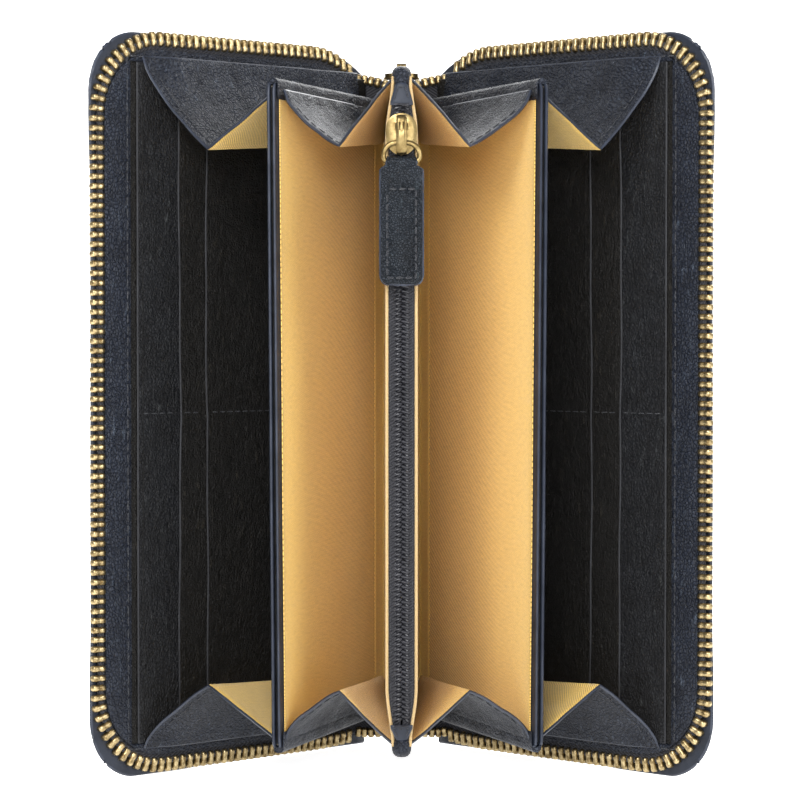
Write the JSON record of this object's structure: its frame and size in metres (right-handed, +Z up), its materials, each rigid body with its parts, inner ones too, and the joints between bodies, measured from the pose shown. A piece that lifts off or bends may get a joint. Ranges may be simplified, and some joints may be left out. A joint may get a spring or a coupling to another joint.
{
  "type": "zip around wallet",
  "caption": "Long leather wallet opened like a fan: zip round three edges, card panels, bill compartments with folded end gussets, zipped coin pocket.",
  "frame": {"origin": "middle of the footprint, on the surface that the wallet stands on", "axes": "+Z up along the wallet and its spine, +X to the right cover, -Y out of the open mouth, +Y to the spine"},
  "size_m": [0.1607, 0.1007, 0.196],
  "materials": {
    "navy_leather": "pebbled navy leather, satin",
    "card_leather": "smooth dark leather",
    "board": "bonded fibre stiffener, matte",
    "antique_brass": "antique brass, satin",
    "pale_gold": "polished pale gold plating",
    "zip_tape": "woven dark tape",
    "nylon_coil": "dark nylon coil",
    "twill_lining": "beige gold twill"
  },
  "bodies": {
    "root": {"coin_zip_stops": "pale_gold", "left_coin_zip_coil": "nylon_coil", "left_coin_zip_tape": "zip_tape", "left_pocket_wall": "twill_lining", "main_slider": "pale_gold", "main_zip_stop": "pale_gold", "main_zip_tails": "zip_tape", "pocket_end_loops": "navy_leather", "pocket_end_seams": "twill_lining", "pocket_end_tabs": "navy_leather", "pocket_floor": "twill_lining", "right_coin_zip_coil": "nylon_coil", "right_coin_zip_tape": "zip_tape", "right_pocket_wall": "twill_lining", "spine_leather": "navy_leather", "spine_lining": "twill_lining"},
    "left_divider": {"left_divider_core": "board", "left_divider_end_bindings": "navy_leather", "left_divider_inner_leather": "navy_leather", "left_divider_lining": "twill_lining", "left_divider_outer_leather": "navy_leather", "left_inner_gusset_bottom": "navy_leather", "left_inner_gusset_top": "navy_leather"},
    "left_cover": {"left_card_panel_1": "card_leather", "left_card_panel_2": "card_leather", "left_card_panel_3": "card_leather", "left_cover_board": "board", "left_cover_leather": "navy_leather", "left_cover_lining": "card_leather", "left_outer_gusset_bottom": "navy_leather", "left_outer_gusset_top": "navy_leather", "left_zip_facing": "navy_leather", "left_zip_tape": "zip_tape", "left_zip_teeth": "antique_brass"},
    "right_divider": {"right_divider_core": "board", "right_divider_end_bindings": "navy_leather", "right_divider_inner_leather": "navy_leather", "right_divider_lining": "twill_lining", "right_divider_outer_leather": "navy_leather", "right_inner_gusset_bottom": "navy_leather", "right_inner_gusset_top": "navy_leather"},
    "right_cover": {"right_card_panel_1": "card_leather", "right_card_panel_2": "card_leather", "right_card_panel_3": "card_leather", "right_cover_board": "board", "right_cover_leather": "navy_leather", "right_cover_lining": "card_leather", "right_outer_gusset_bottom": "navy_leather", "right_outer_gusset_top": "navy_leather", "right_zip_facing": "navy_leather", "right_zip_tape": "zip_tape", "right_zip_teeth": "antique_brass"},
    "coin_slider_body": {"coin_slider": "pale_gold"},
    "coin_ring_body": {"coin_pull_ring": "pale_gold"},
    "coin_pull_body": {"coin_pull_leather": "navy_leather"},
    "main_ring_body": {"main_pull_ring": "pale_gold"},
    "main_pull_body": {"main_pull_leather": "navy_leather"}
  },
  "joints": [
    {"name": "left_divider_fold", "type": "hinge", "parent": "root", "child": "left_divider", "pos_m": [-0.006, 0.0384, 0], "axis": [0, 0, -1], "range_deg": [-18.5, 5], "deforming": ["left_inner_gusset_top", "left_inner_gusset_bottom"]},
    {"name": "left_cover_fold", "type": "hinge", "parent": "left_divider", "child": "left_cover", "pos_m": [-0.006, 0.0384, 0], "axis": [0, 0, -1], "range_deg": [-25.9, 7.07], "deforming": ["left_outer_gusset_top", "left_outer_gusset_bottom"]},
    {"name": "right_divider_fold", "type": "hinge", "parent": "root", "child": "right_divider", "pos_m": [0.006, 0.0384, 0], "axis": [0, 0, 1], "range_deg": [-20.8, 5], "deforming": ["right_inner_gusset_top", "right_inner_gusset_bottom"]},
    {"name": "right_cover_fold", "type": "hinge", "parent": "right_divider", "child": "right_cover", "pos_m": [0.006, 0.0384, 0], "axis": [0, 0, 1], "range_deg": [-23.6, 5.75], "deforming": ["right_outer_gusset_top", "right_outer_gusset_bottom"]},
    {"name": "coin_zip_slide", "type": "slide", "parent": "root", "child": "coin_slider_body", "axis": [0, 0, -1], "range_m": [0, 0.14]},
    {"name": "coin_ring_swing", "type": "hinge", "parent": "coin_slider_body", "child": "coin_ring_body", "pos_m": [0, -0.0484, 0.1644], "axis": [-1, 0, 0], "range_deg": [0, 120]},
    {"name": "coin_pull_swing", "type": "hinge", "parent": "coin_ring_body", "child": "coin_pull_body", "pos_m": [0, -0.0484, 0.1597], "axis": [-1, 0, 0], "range_deg": [-2, 60]},
    {"name": "main_ring_swing", "type": "hinge", "parent": "root", "child": "main_ring_body", "pos_m": [0, 0.0428, 0.1889], "axis": [1, 0, 0], "range_deg": [0, 140]},
    {"name": "main_pull_swing", "type": "hinge", "parent": "main_ring_body", "child": "main_pull_body", "pos_m": [0, 0.04905, 0.18598], "axis": [1, 0, 0], "range_deg": [-3, 80]}
  ],
  "couplings": [
    {"joint": "left_cover_fold", "follows": "left_divider_fold", "ratio": 1.3946},
    {"joint": "right_cover_fold", "follows": "right_divider_fold", "ratio": 1.1298}
  ]
}
